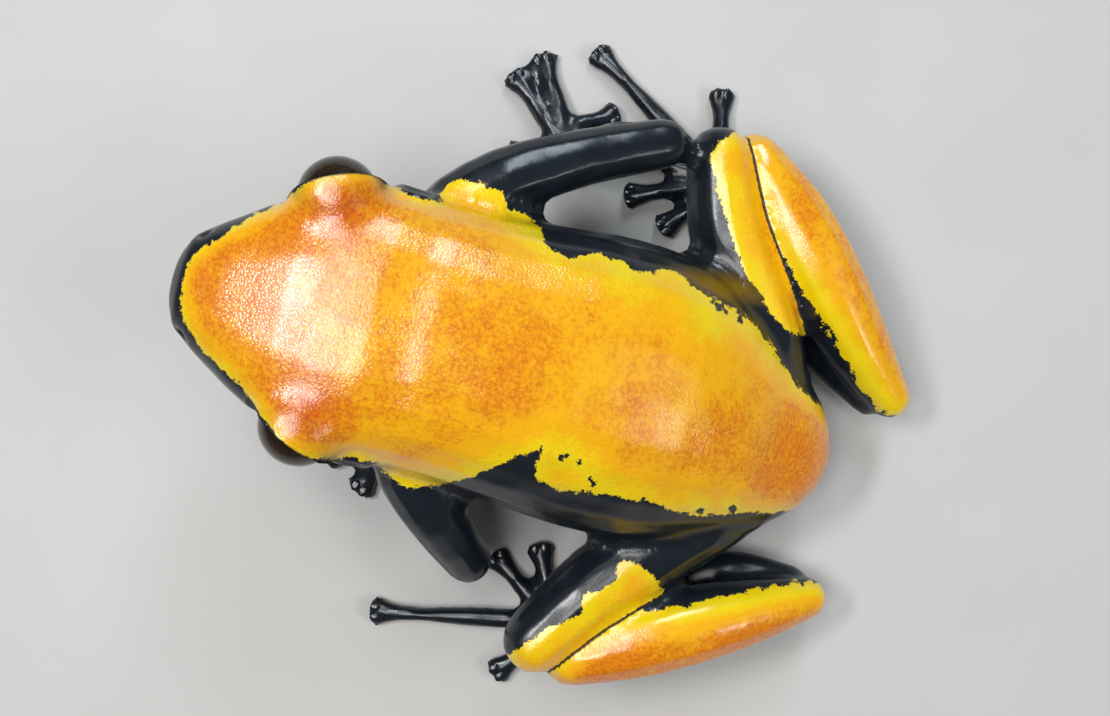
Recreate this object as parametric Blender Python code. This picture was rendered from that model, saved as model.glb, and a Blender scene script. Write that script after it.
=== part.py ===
"""Splash-backed poison frog, life size, sitting with its head raised and its hind legs folded.

Lengths in the tables are millimetres. The frog faces -Y, its left side is +X and the floor is z = 0.
The tables are centred on the trunk, and a last shift puts the origin under the middle of the whole frog.
"""

import math

import bmesh
import bpy
import numpy as np
from mathutils import Matrix, Vector

MM = 0.001
GAP = 0.3  # between two pieces that meet
TO_ORIGIN = (0.36, -0.51, 0.0)  # brings the origin under the middle of the whole frog

# The trunk and head are one loft. Each row is a cross-section, from the snout to the rump:
# place along Y, sideways shift, height of its widest level, half width, height above, depth below, and
# how square its upper half is (2 is an ellipse).
BODY = (
    (-18.25, 0.20, 12.50, 0.00, 0.00, 0.00, 2.4),
    (-17.75, 0.20, 12.40, 2.15, 1.20, 1.05, 2.4),
    (-16.10, 0.18, 12.10, 3.40, 2.35, 1.75, 2.6),
    (-14.00, 0.10, 11.50, 4.80, 3.55, 2.30, 3.0),
    (-11.40, 0.02, 10.90, 6.00, 4.70, 2.90, 3.3),
    (-8.80, -0.02, 10.20, 6.60, 5.45, 3.50, 2.9),
    (-5.40, -0.05, 9.20, 6.75, 6.05, 4.50, 2.5),
    (-1.50, 0.00, 7.90, 7.15, 6.60, 5.40, 2.4),
    (2.50, 0.00, 6.60, 7.60, 6.95, 5.60, 2.35),
    (6.00, 0.05, 5.50, 7.45, 6.80, 5.65, 2.35),
    (9.20, 0.30, 4.80, 6.40, 5.60, 4.95, 2.3),
    (12.20, 0.80, 4.40, 4.70, 3.70, 3.80, 2.3),
    (14.50, 1.05, 4.50, 2.60, 1.90, 2.10, 2.2),
    (15.40, 1.10, 4.70, 0.00, 0.00, 0.00, 2.2),
)
BODY_RINGS = 32
BODY_AROUND = 28
SQUARENESS_BELOW = 2.2
NECK_Y = -6.9  # the cut between head and torso

EYE_X = 5.33
EYE_Y = -11.1
EYE_Z = 13.35
EYE_LEAD = 0.45  # the head is turned a little to its left, so the right eye is this much ahead
EYE_RADIUS = 1.75
LID_THICKNESS = 0.32
LID_RIM_TILT = 12.0  # degrees that the open side of the lids looks down
LID_RIM_TURN = 26.0  # degrees that it looks ahead
LID_RIM_OUT = 0.3  # from the eye's middle to the plane of the lids' rim
EYE_AROUND = 18
SOCKET_AROUND = 16
NOSTRIL = (2.45, -17.15, 13.0)
NOSTRIL_RADIUS = 0.28
NOSTRIL_AROUND = 8
SNOUT_SHIFT = 0.2  # the middle of the snout lies this far to the left
EARDRUM = (6.42, -8.25, 12.0)
EARDRUM_RADIUS = 0.95
EARDRUM_RIM = 0.24
EARDRUM_FACES = (0.97, 0.08, 0.22)
EARDRUM_AROUND = 14
MOUTH_BELOW_WIDEST = 0.55
MOUTH_SHARE_BELOW = 0.6  # at the thin snout the mouth lies no lower than this share of the depth below
MOUTH_BELOW_TIP = 0.3
MOUTH_CORNER_Y = -9.2
MOUTH_GROOVE = 0.25
MOUTH_RINGS = 60

# Limbs are tubes. Each row is a place on the limb's middle line, its half width and its half height.
LIMBS = {
    "upper_arm_right": (
        (-5.4, -7.4, 9.5, 1.9, 1.9),
        (-8.2, -4.9, 9.3, 1.75, 1.75),
        (-10.3, -1.9, 8.6, 1.5, 1.5),
        (-12.6, 2.6, 7.4, 1.3, 1.3),
    ),
    "upper_arm_left": (
        (4.8, -6.8, 9.5, 1.9, 1.9),
        (7.3, -4.9, 8.6, 1.75, 1.75),
        (9.3, -3.2, 6.8, 1.5, 1.5),
        (10.8, -1.8, 4.9, 1.3, 1.3),
    ),
    "forearm_right": (
        (-12.3, 1.8, 6.8, 1.3, 1.3),
        (-12.2, 0.2, 4.6, 1.4, 1.35),
        (-11.7, -1.5, 1.75, 1.0, 0.95),
    ),
    "forearm_left": (
        (10.7, -2.0, 4.5, 1.3, 1.3),
        (9.4, -4.0, 3.4, 1.4, 1.35),
        (7.7, -6.0, 1.75, 1.0, 0.95),
    ),
    "thigh_right": (
        (-1.6, 11.6, 4.6, 2.3, 2.7),
        (-5.4, 9.6, 4.9, 2.3, 2.7),
        (-9.6, 7.0, 5.5, 2.1, 2.4),
        (-12.8, 5.7, 5.9, 1.75, 1.9),
    ),
    "thigh_left": (
        (3.6, 11.4, 4.6, 2.3, 2.7),
        (6.8, 8.3, 4.9, 2.3, 2.7),
        (10.6, 4.9, 5.5, 2.1, 2.4),
        (13.8, 2.7, 5.9, 1.75, 1.9),
    ),
    "shank_right": (
        (-13.1, 7.6, 5.2, 1.7, 1.8),
        (-10.9, 10.1, 5.0, 2.15, 2.2),
        (-8.0, 13.0, 4.6, 2.15, 2.2),
        (-5.0, 16.0, 3.7, 1.7, 1.7),
        (-3.2, 18.1, 2.9, 1.2, 1.25),
    ),
    "shank_left": (
        (14.2, 4.8, 5.2, 1.7, 1.8),
        (12.8, 7.5, 5.0, 2.1, 2.2),
        (11.2, 10.7, 4.6, 2.1, 2.2),
        (9.6, 14.2, 3.7, 1.65, 1.7),
        (8.6, 16.4, 2.9, 1.2, 1.25),
    ),
    "tarsus_right": (
        (-3.0, 17.4, 2.0, 1.15, 1.1),
        (-4.8, 14.1, 1.6, 1.15, 1.1),
        (-8.6, 10.4, 1.1, 1.1, 0.95),
    ),
    "tarsus_left": (
        (8.3, 15.7, 2.0, 1.15, 1.1),
        (8.3, 12.6, 1.6, 1.15, 1.1),
        (10.6, 8.4, 1.1, 1.1, 0.95),
    ),
}
LIMB_RINGS = 10
LIMB_AROUND = 12
CAP_RINGS = 2

# The palm of each hand and the sole of each foot, as short tubes that carry the digits.
PALMS = {
    "hand_right": (
        (-11.75, -1.45, 1.25, 0.95, 0.9),
        (-12.5, -2.1, 0.78, 1.25, 0.8),
        (-13.0, -2.5, 0.65, 1.25, 0.7),
    ),
    "hand_left": (
        (7.6, -6.1, 1.25, 0.95, 0.9),
        (7.2, -7.1, 0.78, 1.25, 0.8),
        (7.0, -7.9, 0.65, 1.25, 0.7),
    ),
    "foot_right": (
        (-8.7, 10.3, 1.05, 1.05, 0.9),
        (-11.0, 7.8, 0.8, 1.25, 0.82),
        (-12.4, 6.2, 0.68, 1.4, 0.72),
    ),
    "foot_left": (
        (10.7, 8.2, 1.05, 1.05, 0.9),
        (12.2, 5.8, 0.8, 1.25, 0.82),
        (13.1, 3.9, 0.68, 1.4, 0.72),
    ),
}
# Each digit runs from its root on the palm or sole to the middle of its disc: x and y of both.
DIGITS = {
    "hand_right": (
        (-12.3, -2.9, -11.2, -5.1),
        (-12.8, -3.0, -15.5, -6.1),
        (-13.4, -2.8, -16.8, -4.9),
        (-13.6, -2.1, -14.7, -0.2),
    ),
    "hand_left": (
        (6.1, -8.1, 4.5, -9.3),
        (6.6, -8.5, 5.7, -11.0),
        (7.2, -8.5, 7.8, -10.8),
        (7.7, -8.1, 9.2, -8.8),
    ),
    "foot_right": (
        (-11.6, 6.1, -9.4, 4.1),
        (-12.1, 5.4, -10.6, 1.8),
        (-12.7, 5.1, -13.0, 1.3),
        (-13.2, 5.5, -17.9, -1.9),
        (-13.6, 6.2, -17.4, 5.4),
    ),
    "foot_left": (
        (12.1, 4.0, 10.0, 4.4),
        (12.5, 3.1, 10.0, 1.9),
        (13.2, 2.8, 11.1, -0.3),
        (13.8, 3.1, 15.75, -6.2),
        (14.2, 3.7, 17.3, 1.3),
    ),
}
DIGIT_RADIUS = {"hand": 0.58, "foot": 0.56}
DISC_HALF_WIDTH = {"hand": 0.92, "foot": 0.85}
DISC_HALF_HEIGHT = 0.42
DIGIT_ROOT_HEIGHT = 0.75
DIGIT_ROOT_SWELL = 1.1
KNUCKLE_RISE = 1.15
THROAT_SHARE = 0.9  # the digit is thinnest in front of its disc
THROAT_TO_DISC = 1.1
DISC_LEVEL = 0.4
DIGIT_RINGS = 8
DIGIT_AROUND = 8
DIGIT_CAP_RINGS = 1
PALM_RINGS = 5
PALM_AROUND = 10

YELLOW = (0.95, 0.48, 0.01)
BLACK = (0.012, 0.015, 0.02)
EYE_BLACK = (0.01, 0.007, 0.006)


def clear_scene():
    for old in list(bpy.data.objects):
        bpy.data.objects.remove(old)


def make_material(name, colour, roughness):
    material = bpy.data.materials.new(name)
    material.use_nodes = True
    shader = material.node_tree.nodes["Principled BSDF"]
    shader.inputs["Base Color"].default_value = (*colour, 1.0)
    shader.inputs["Roughness"].default_value = roughness
    return material


def new_object(name, mesh, collection):
    made = bpy.data.objects.new(name, mesh)
    collection.objects.link(made)
    return made


def new_collection(name):
    made = bpy.data.collections.new(name)
    bpy.context.scene.collection.children.link(made)
    return made


def through(rows, count, before=None, after=None):
    """Rows of numbers, read at count even steps along a smooth curve that passes through each of them."""
    rows = np.array(rows, float)
    before = 2 * rows[0] - rows[1] if before is None else np.array(before, float)
    after = 2 * rows[-1] - rows[-2] if after is None else np.array(after, float)
    line = np.vstack([before, rows, after])
    step = np.linalg.norm(np.diff(line, axis=0), axis=1)
    rise = np.diff(line, axis=0) / step[:, None]
    slope = (rise[:-1] * step[1:, None] + rise[1:] * step[:-1, None]) / (step[1:] + step[:-1])[:, None]
    knots = np.concatenate([[0.0], np.cumsum(step[1:-1])])
    spots = np.linspace(0.0, knots[-1], count)
    left = np.clip(np.searchsorted(knots, spots, side="right") - 1, 0, len(rows) - 2)
    width = (knots[left + 1] - knots[left])[:, None]
    t = (spots[:, None] - knots[left][:, None]) / width
    return (
        (2 * t**3 - 3 * t**2 + 1) * rows[left]
        + (t**3 - 2 * t**2 + t) * width * slope[left]
        + (3 * t**2 - 2 * t**3) * rows[left + 1]
        + (t**3 - t**2) * width * slope[left + 1]
    )


def skin_rings(name, first, rings, last, collection):
    """A closed mesh over rings of points, with one point that closes each end."""
    rings = np.array(rings, float)
    count, around = rings.shape[:2]
    points = np.vstack([[first], rings.reshape(-1, 3), [last]])
    points[:, 2] = np.maximum(points[:, 2], 0.0)
    final = len(points) - 1
    faces = []
    for j in range(around):
        k = (j + 1) % around
        faces.append((0, 1 + k, 1 + j))
        faces.append((final, final - around + j, final - around + k))
        for i in range(count - 1):
            a, b = 1 + i * around, 1 + (i + 1) * around
            faces.append((a + j, a + k, b + k, b + j))
    mesh = bpy.data.meshes.new(name)
    mesh.from_pydata((points * MM).tolist(), [], faces)
    outward = bmesh.new()
    outward.from_mesh(mesh)
    bmesh.ops.triangulate(outward, faces=outward.faces)
    bmesh.ops.recalc_face_normals(outward, faces=outward.faces)
    outward.to_mesh(mesh)
    outward.free()
    return new_object(name, mesh, collection)


def body_sections(count):
    """Rows like BODY's at even steps from snout to rump, rounded over at both ends."""
    sign = np.array([1, 1, 1, -1, -1, -1, 1])
    return through(BODY, count, np.array(BODY[1]) * sign, np.array(BODY[-2]) * sign)


def power(value, squareness):
    return math.copysign(abs(value) ** (2 / squareness), value)


def body_ring(row, around):
    y, shift, widest, half_width, above, below, squareness_above = row
    ring = []
    for j in range(around):
        angle = 2 * math.pi * j / around
        upper = math.sin(angle) >= 0
        squareness = squareness_above if upper else SQUARENESS_BELOW
        height = above if upper else below
        x = shift + half_width * power(math.cos(angle), squareness)
        z = widest + height * power(math.sin(angle), squareness)
        ring.append((x, y, z))
    return ring


def body_loft(collection):
    rows = body_sections(BODY_RINGS)
    rings = [body_ring(row, BODY_AROUND) for row in rows[1:-1]]
    return skin_rings("body", rows[0, :3][[1, 0, 2]], rings, rows[-1, :3][[1, 0, 2]], collection)


def tube(name, stations, rings, around, caps, collection):
    """A tube with round ends along a smooth line through the stations."""
    rows = through(stations, rings)
    middle, half_width, half_height = rows[:, :3], rows[:, 3], rows[:, 4]
    along = np.gradient(middle, axis=0)
    along /= np.linalg.norm(along, axis=1)[:, None]
    angles = [2 * math.pi * j / around for j in range(around)]

    def ring(centre, forward, wide, high):
        side = Vector(forward).cross(Vector((0, 0, 1))).normalized()
        up = side.cross(Vector(forward)).normalized()
        return [
            tuple(Vector(centre) + side * wide * math.cos(a) + up * high * math.sin(a))
            for a in angles
        ]

    def cap(index, way):
        reach = min(half_width[index], half_height[index])
        made = []
        for step in range(1, caps + 1):
            turn = math.radians(90) * step / (caps + 1)
            centre = middle[index] + along[index] * way * reach * math.sin(turn)
            shrink = math.cos(turn)
            made.append(ring(centre, along[index], half_width[index] * shrink, half_height[index] * shrink))
        return made, middle[index] + along[index] * way * reach

    start, first = cap(0, -1)
    end, last = cap(-1, 1)
    body = [ring(middle[i], along[i], half_width[i], half_height[i]) for i in range(rings)]
    return skin_rings(name, first, start[::-1] + body + end, last, collection)


def digit(name, kind, root_x, root_y, disc_x, disc_y, collection):
    """A finger or toe: a slim tube with a low knuckle, which widens into a flat disc at its tip."""
    radius = DIGIT_RADIUS[kind]
    root, disc = np.array([root_x, root_y]), np.array([disc_x, disc_y])

    def station(share, height, half_width, half_height):
        place = root + (disc - root) * share
        return (*place, height, half_width, half_height)

    throat = 1 - THROAT_TO_DISC / np.linalg.norm(disc - root)
    thick, thin = radius * DIGIT_ROOT_SWELL, radius * THROAT_SHARE
    stations = (
        station(0.0, DIGIT_ROOT_HEIGHT, thick, thick),
        station(throat / 2, radius * KNUCKLE_RISE, radius, radius),
        station(throat, thin, thin, thin),
        station(1.0, DISC_LEVEL, DISC_HALF_WIDTH[kind], DISC_HALF_HEIGHT),
    )
    return tube(name, stations, DIGIT_RINGS, DIGIT_AROUND, DIGIT_CAP_RINGS, collection)


def ball(name, centre, radius, segments, collection):
    mesh = bpy.data.meshes.new(name)
    shape = bmesh.new()
    bmesh.ops.create_uvsphere(shape, u_segments=segments, v_segments=segments // 2 + 2, radius=radius * MM)
    bmesh.ops.triangulate(shape, faces=shape.faces)
    shape.to_mesh(mesh)
    shape.free()
    mesh.transform(Matrix.Translation(Vector(centre) * MM))
    return new_object(name, mesh, collection)


def box(name, low, high, collection):
    mesh = bpy.data.meshes.new(name)
    shape = bmesh.new()
    bmesh.ops.create_cube(shape, size=1.0)
    shape.to_mesh(mesh)
    shape.free()
    low, high = Vector(low) * MM, Vector(high) * MM
    size = high - low
    mesh.transform(Matrix.Translation((low + high) / 2) @ Matrix.Diagonal((*size, 1)))
    return new_object(name, mesh, collection)


def drum(name, centre, axis, radius, length, segments, collection):
    """A cylinder that starts at centre and runs along axis."""
    mesh = bpy.data.meshes.new(name)
    shape = bmesh.new()
    bmesh.ops.create_cone(
        shape,
        cap_ends=True,
        segments=segments,
        radius1=radius * MM,
        radius2=radius * MM,
        depth=length * MM,
    )
    shape.to_mesh(mesh)
    shape.free()
    turn = Vector(axis).to_track_quat("Z", "Y").to_matrix().to_4x4()
    middle = (Vector(centre) + Vector(axis).normalized() * length / 2) * MM
    mesh.transform(Matrix.Translation(middle) @ turn)
    return new_object(name, mesh, collection)


def wire(name, points, radius, closed, collection):
    """A round wire through the points, as a closed mesh."""
    curve = bpy.data.curves.new(name, "CURVE")
    curve.dimensions = "3D"
    curve.bevel_depth = radius * MM
    curve.bevel_resolution = 1
    curve.use_fill_caps = True
    line = curve.splines.new("POLY")
    line.points.add(len(points) - 1)
    line.use_cyclic_u = closed
    for spot, point in zip(line.points, points):
        spot.co = (*(Vector(point) * MM), 1)
    guide = new_object(name + "_guide", curve, collection)
    bpy.context.view_layer.update()
    mesh = bpy.data.meshes.new_from_object(guide.evaluated_get(bpy.context.evaluated_depsgraph_get()))
    bpy.data.objects.remove(guide)
    weld = bmesh.new()
    weld.from_mesh(mesh)
    bmesh.ops.remove_doubles(weld, verts=weld.verts, dist=1e-6)
    bmesh.ops.recalc_face_normals(weld, faces=weld.faces)
    weld.to_mesh(mesh)
    weld.free()
    return new_object(name, mesh, collection)


def apply_boolean(target, operation, pieces):
    """Joins the pieces to target, or cuts them from it, and removes them."""
    group = new_collection("joined_pieces")
    for piece in pieces:
        for home in list(piece.users_collection):
            home.objects.unlink(piece)
        group.objects.link(piece)
    modifier = target.modifiers.new(operation.lower(), "BOOLEAN")
    modifier.operation = operation
    modifier.operand_type = "COLLECTION"
    modifier.collection = group
    modifier.solver = "EXACT"
    bpy.context.view_layer.update()
    graph = bpy.context.evaluated_depsgraph_get()
    mesh = bpy.data.meshes.new_from_object(target.evaluated_get(graph))
    target.modifiers.clear()
    target.data = mesh
    for piece in pieces:
        bpy.data.objects.remove(piece)
    bpy.data.collections.remove(group)
    keep_largest(target)


def keep_largest(target):
    """Drops every loose scrap but the largest closed surface."""
    shape = bmesh.new()
    shape.from_mesh(target.data)
    bmesh.ops.remove_doubles(shape, verts=shape.verts, dist=2e-6)
    bmesh.ops.dissolve_degenerate(shape, edges=shape.edges, dist=2e-6)
    left = set(shape.faces)
    islands = []
    while left:
        todo = [left.pop()]
        island = list(todo)
        while todo:
            face = todo.pop()
            near = [f for edge in face.edges for f in edge.link_faces if f in left]
            for other in near:
                if other in left:
                    left.remove(other)
                    todo.append(other)
                    island.append(other)
        islands.append(island)
    islands.sort(key=lambda island: sum(face.calc_area() for face in island))
    for island in islands[:-1]:
        bmesh.ops.delete(shape, geom=island, context="FACES")
    bmesh.ops.delete(shape, geom=[v for v in shape.verts if not v.link_faces], context="VERTS")
    bmesh.ops.triangulate(shape, faces=shape.faces)
    shape.to_mesh(target.data)
    shape.free()


def grown(source, collection):
    """A copy whose surface stands GAP outside source's, to cut room for it from a neighbour."""
    mesh = source.data.copy()
    points = np.empty(len(mesh.vertices) * 3)
    normals = np.empty(len(mesh.vertices) * 3)
    mesh.vertices.foreach_get("co", points)
    mesh.vertices.foreach_get("normal", normals)
    mesh.vertices.foreach_set("co", points + normals * GAP * MM)
    return new_object(source.name + "_grown", mesh, collection)


def mouth_line():
    """Points on the skin along the mouth, from its right corner round the snout to its left corner."""
    rows = [row for row in body_sections(MOUTH_RINGS) if row[0] <= MOUTH_CORNER_Y and row[3] > 0]
    side = []
    for y, shift, widest, half_width, _, below, _ in rows:
        drop = min(MOUTH_BELOW_WIDEST, below * MOUTH_SHARE_BELOW)
        out = half_width * (1 - (drop / below) ** SQUARENESS_BELOW) ** (1 / SQUARENESS_BELOW)
        side.append((shift, out, y, widest - drop))
    right = [(shift - out, y, z) for shift, out, y, z in side[::-1]]
    left = [(shift + out, y, z) for shift, out, y, z in side]
    tip_y, tip_x, tip_z = BODY[0][:3]
    return right + [(tip_x, tip_y, tip_z - MOUTH_BELOW_TIP)] + left


def eye_centre(side):
    return Vector((side * EYE_X, EYE_Y + side * EYE_LEAD, EYE_Z))


def lids(side, collection):
    """The bulge of the lids round one eye, open where the eye looks out."""
    radius = EYE_RADIUS + GAP + LID_THICKNESS
    bulge = ball("lids", eye_centre(side), radius, EYE_AROUND, collection)
    tilt, turn = math.radians(LID_RIM_TILT), math.radians(LID_RIM_TURN)
    level = math.cos(tilt)
    outward = Vector((side * level * math.cos(turn), -level * math.sin(turn), -math.sin(tilt)))
    rim = eye_centre(side) + outward * LID_RIM_OUT
    opening = drum("opening", rim, outward, 2 * radius, 2 * radius, SOCKET_AROUND, collection)
    apply_boolean(bulge, "DIFFERENCE", [opening])
    return bulge


def eardrum_rim(side, collection):
    centre = Vector((side * EARDRUM[0], EARDRUM[1], EARDRUM[2]))
    outward = Vector((side * EARDRUM_FACES[0], EARDRUM_FACES[1], EARDRUM_FACES[2]))
    turn = outward.to_track_quat("Z", "Y")
    points = []
    for step in range(EARDRUM_AROUND):
        angle = 2 * math.pi * step / EARDRUM_AROUND
        flat = Vector((math.cos(angle), math.sin(angle), 0)) * EARDRUM_RADIUS
        points.append(centre + turn @ flat)
    return wire("eardrum_rim", points, EARDRUM_RIM, True, collection)


def build_head_and_torso(body, frog, cutters):
    front_half = box("front", (-30, -40, -10), (30, NECK_Y + GAP / 2, 40), cutters)
    rear_half = box("rear", (-30, NECK_Y - GAP / 2, -10), (30, 40, 40), cutters)
    torso = new_object("torso", body.data.copy(), frog)
    apply_boolean(torso, "DIFFERENCE", [front_half])
    head = new_object("head", body.data.copy(), frog)
    apply_boolean(head, "DIFFERENCE", [rear_half])
    bulges = []
    for side in (-1, 1):
        bulges.append(lids(side, cutters))
        bulges.append(eardrum_rim(side, cutters))
    apply_boolean(head, "UNION", bulges)
    hollows = [wire("mouth_groove", mouth_line(), MOUTH_GROOVE, False, cutters)]
    for side in (-1, 1):
        centre = (SNOUT_SHIFT + side * NOSTRIL[0], *NOSTRIL[1:])
        hollows.append(ball("nostril", centre, NOSTRIL_RADIUS, NOSTRIL_AROUND, cutters))
    apply_boolean(head, "DIFFERENCE", hollows)
    sockets = [
        ball("socket", eye_centre(side), EYE_RADIUS + GAP, SOCKET_AROUND, cutters) for side in (-1, 1)
    ]
    apply_boolean(head, "DIFFERENCE", sockets)
    return head, torso


def build_eyes(frog):
    return [
        ball("eye_" + word, eye_centre(side), EYE_RADIUS, EYE_AROUND, frog)
        for word, side in (("right", -1), ("left", 1))
    ]


def build_limbs(frog):
    return {
        name: tube(name, stations, LIMB_RINGS, LIMB_AROUND, CAP_RINGS, frog)
        for name, stations in LIMBS.items()
    }


def build_palms(frog, cutters):
    made = {}
    for name, stations in PALMS.items():
        kind = name.split("_")[0]
        palm = tube(name, stations, PALM_RINGS, PALM_AROUND, CAP_RINGS, frog)
        digits = [digit(f"{name}_digit", kind, *ends, cutters) for ends in DIGITS[name]]
        apply_boolean(palm, "UNION", digits)
        made[name] = palm
    return made


def make_room(limbs, body, cutters):
    """Cuts each piece of limb back, by GAP, from the body and from the pieces that it meets."""
    uncut = {name: new_object(name + "_uncut", limb.data.copy(), cutters) for name, limb in limbs.items()}
    for side in ("left", "right"):
        for name, neighbours in (
            ("upper_arm", ()),
            ("forearm", ("upper_arm",)),
            ("hand", ("forearm",)),
            ("thigh", ()),
            ("shank", ("thigh",)),
            ("tarsus", ("shank", "thigh")),
            ("foot", ("tarsus", "shank", "thigh")),
        ):
            for source in [body, *(uncut[f"{other}_{side}"] for other in neighbours)]:
                apply_boolean(limbs[f"{name}_{side}"], "DIFFERENCE", [grown(source, cutters)])
    for source in uncut.values():
        bpy.data.objects.remove(source)


def main():
    clear_scene()
    frog = new_collection("poison_frog")
    cutters = new_collection("cutters")
    body = body_loft(cutters)
    head, torso = build_head_and_torso(body, frog, cutters)
    eyes = build_eyes(frog)
    limbs = {**build_limbs(frog), **build_palms(frog, cutters)}
    make_room(limbs, body, cutters)
    bpy.data.objects.remove(body)
    pieces = {"head": head, "torso": torso, **limbs}
    yellow = make_material("yellow_skin", YELLOW, 0.35)
    black = make_material("black_skin", BLACK, 0.35)
    glossy = make_material("eye", EYE_BLACK, 0.05)
    for name, piece in pieces.items():
        bright = name in ("head", "torso") or name.startswith(("thigh", "shank"))
        piece.data.materials.append(yellow if bright else black)
    for eye in eyes:
        eye.data.materials.append(glossy)
    for piece in [*pieces.values(), *eyes]:
        piece.data.transform(Matrix.Translation(Vector(TO_ORIGIN) * MM))
        piece.data.shade_smooth()
        piece.data.set_sharp_from_angle(angle=math.radians(50))


main()
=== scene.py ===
# %% [markdown]
# # A splash-backed poison frog
#
# A life-size frog of about 37 mm, with yellow and orange poured over a glossy black body.
# The solids of the frog are packed in a frame. One skin is grown over them, and the markings
# are drawn where the camera sees them and carried onto the skin as distances.
#
# Lengths are millimetres until a mesh is made, and the frog faces -Y.

import math

import bmesh
import bpy
import numpy as np
from mathutils import Matrix, Vector
from mathutils.bvhtree import BVHTree


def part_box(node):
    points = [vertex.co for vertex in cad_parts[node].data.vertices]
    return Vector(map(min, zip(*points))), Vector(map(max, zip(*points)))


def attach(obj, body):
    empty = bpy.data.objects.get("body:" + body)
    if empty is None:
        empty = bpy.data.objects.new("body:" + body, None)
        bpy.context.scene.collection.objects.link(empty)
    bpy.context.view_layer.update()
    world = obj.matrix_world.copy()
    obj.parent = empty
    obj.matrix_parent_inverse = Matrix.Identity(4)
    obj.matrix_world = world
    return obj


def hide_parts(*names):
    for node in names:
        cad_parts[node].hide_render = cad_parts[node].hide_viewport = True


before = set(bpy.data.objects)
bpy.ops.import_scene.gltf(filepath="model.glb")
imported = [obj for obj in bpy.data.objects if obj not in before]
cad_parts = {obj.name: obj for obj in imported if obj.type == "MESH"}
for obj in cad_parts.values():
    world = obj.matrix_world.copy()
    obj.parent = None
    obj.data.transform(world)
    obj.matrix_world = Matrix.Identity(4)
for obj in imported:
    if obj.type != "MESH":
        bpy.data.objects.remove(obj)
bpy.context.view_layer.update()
MM = 0.001

# %% [markdown]
# ## The camera's place and the skin's sizes
#
# The photograph was taken with a near camera that looked straight down, so the raised head is
# drawn larger than the rump. One point above the floor therefore rules everything that is
# read from the picture.
#
# The other sizes say how the skin is grown. They are kept together because they depend on
# one another: finer cubes need more rounds of smoothing, for instance.

# %% Sizes
SIDES = ("left", "right")

EYE_POINT = Vector((-0.29, -0.51, 71.0))
IMAGE_WIDTH = 1110
PIXELS_PER_MM = 19.2  # on the plane where the markings are measured
MARKING_HEIGHT = 6.0
TURN_IN_IMAGE = math.atan2(170, 655)
MARKING_SHIFT = (1.76, -0.51)  # from the markings' own origin to the frame's

VOXEL = 0.205
CLOSING = 0.18  # wider than half of the gaps between the solids
TRUNK_CLOSING = 0.42  # on the trunk it also rounds the folds over
WELD = 0.002
SMOOTHING = 34  # rounds, enough to hide the flat faces of the solids
LAST_SMOOTHING = 4
INWARD, OUTWARD = 0.62, -0.65  # the shares by which a round of smoothing moves a point
BLENDING = 12  # rounds that soften the change from one limb's settings to the next
FINE_SOFTNESS = 0.35  # of hands and feet
LID_SOFTNESS, LID_REACH = 0.85, 3.2
BROW_ROUNDS = 14  # the skin runs smoothly from the crown over each eye
BROW_REACH, BROW_FADE = 3.9, 0.8  # distances from an eye's centre
BROW_FACING, BROW_FACING_FADE = 0.45, 0.2  # only what faces up is evened out
EYE_SWELL = 1.09
LID_RADIUS = 2.1  # what is nearer to an eye's centre lies inside its lids
LID_OUTSIDE = 2.5
LIDS_OPEN = (0.88, -0.43, -0.21)  # the way the left lids open, and the right ones mirror it
LID_RIM = 0.32  # from an eye's centre to the start of its lids' black rim, along that way

eye_centre, eye_radius = {}, {}
for side in SIDES:
    low, high = (np.array(corner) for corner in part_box(f"eye_{side}"))
    eye_centre[side] = (low + high) / 2
    eye_radius[side] = (high - low).max() / 2
    print(side, "eye, mm:", np.round(eye_centre[side] / MM, 2), round(eye_radius[side] / MM, 2))

# %% [markdown]
# ## Wiring a material
#
# A material is a net of small nodes, each of which does one sum. Wired by hand, a formula of
# ten terms is thirty lines long. This class lets a formula be written as a formula: each
# sign adds the node that works it out.

# %% Material class


class Value:
    """A number or colour in a material."""

    def __init__(self, paint, socket):
        self.paint = paint
        self.socket = socket

    def math(self, operation, first, second):
        return self.paint.node("ShaderNodeMath", {"operation": operation}, {0: first, 1: second})

    def __add__(self, other):
        return self.math("ADD", self, other)

    def __radd__(self, other):
        return self.math("ADD", other, self)

    def __sub__(self, other):
        return self.math("SUBTRACT", self, other)

    def __rsub__(self, other):
        return self.math("SUBTRACT", other, self)

    def __mul__(self, other):
        return self.math("MULTIPLY", self, other)

    def __rmul__(self, other):
        return self.math("MULTIPLY", other, self)

    def __pow__(self, other):
        return self.math("POWER", self, other)

    def at_most(self, other):
        return self.math("MINIMUM", self, other)

    def step(self, low, high):
        """0 below low, 1 above high, and a smooth rise between."""
        return self.paint.node(
            "ShaderNodeMapRange",
            {"interpolation_type": "SMOOTHSTEP"},
            {0: self, 1: low, 2: high, 3: 0.0, 4: 1.0},
        )


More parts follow.
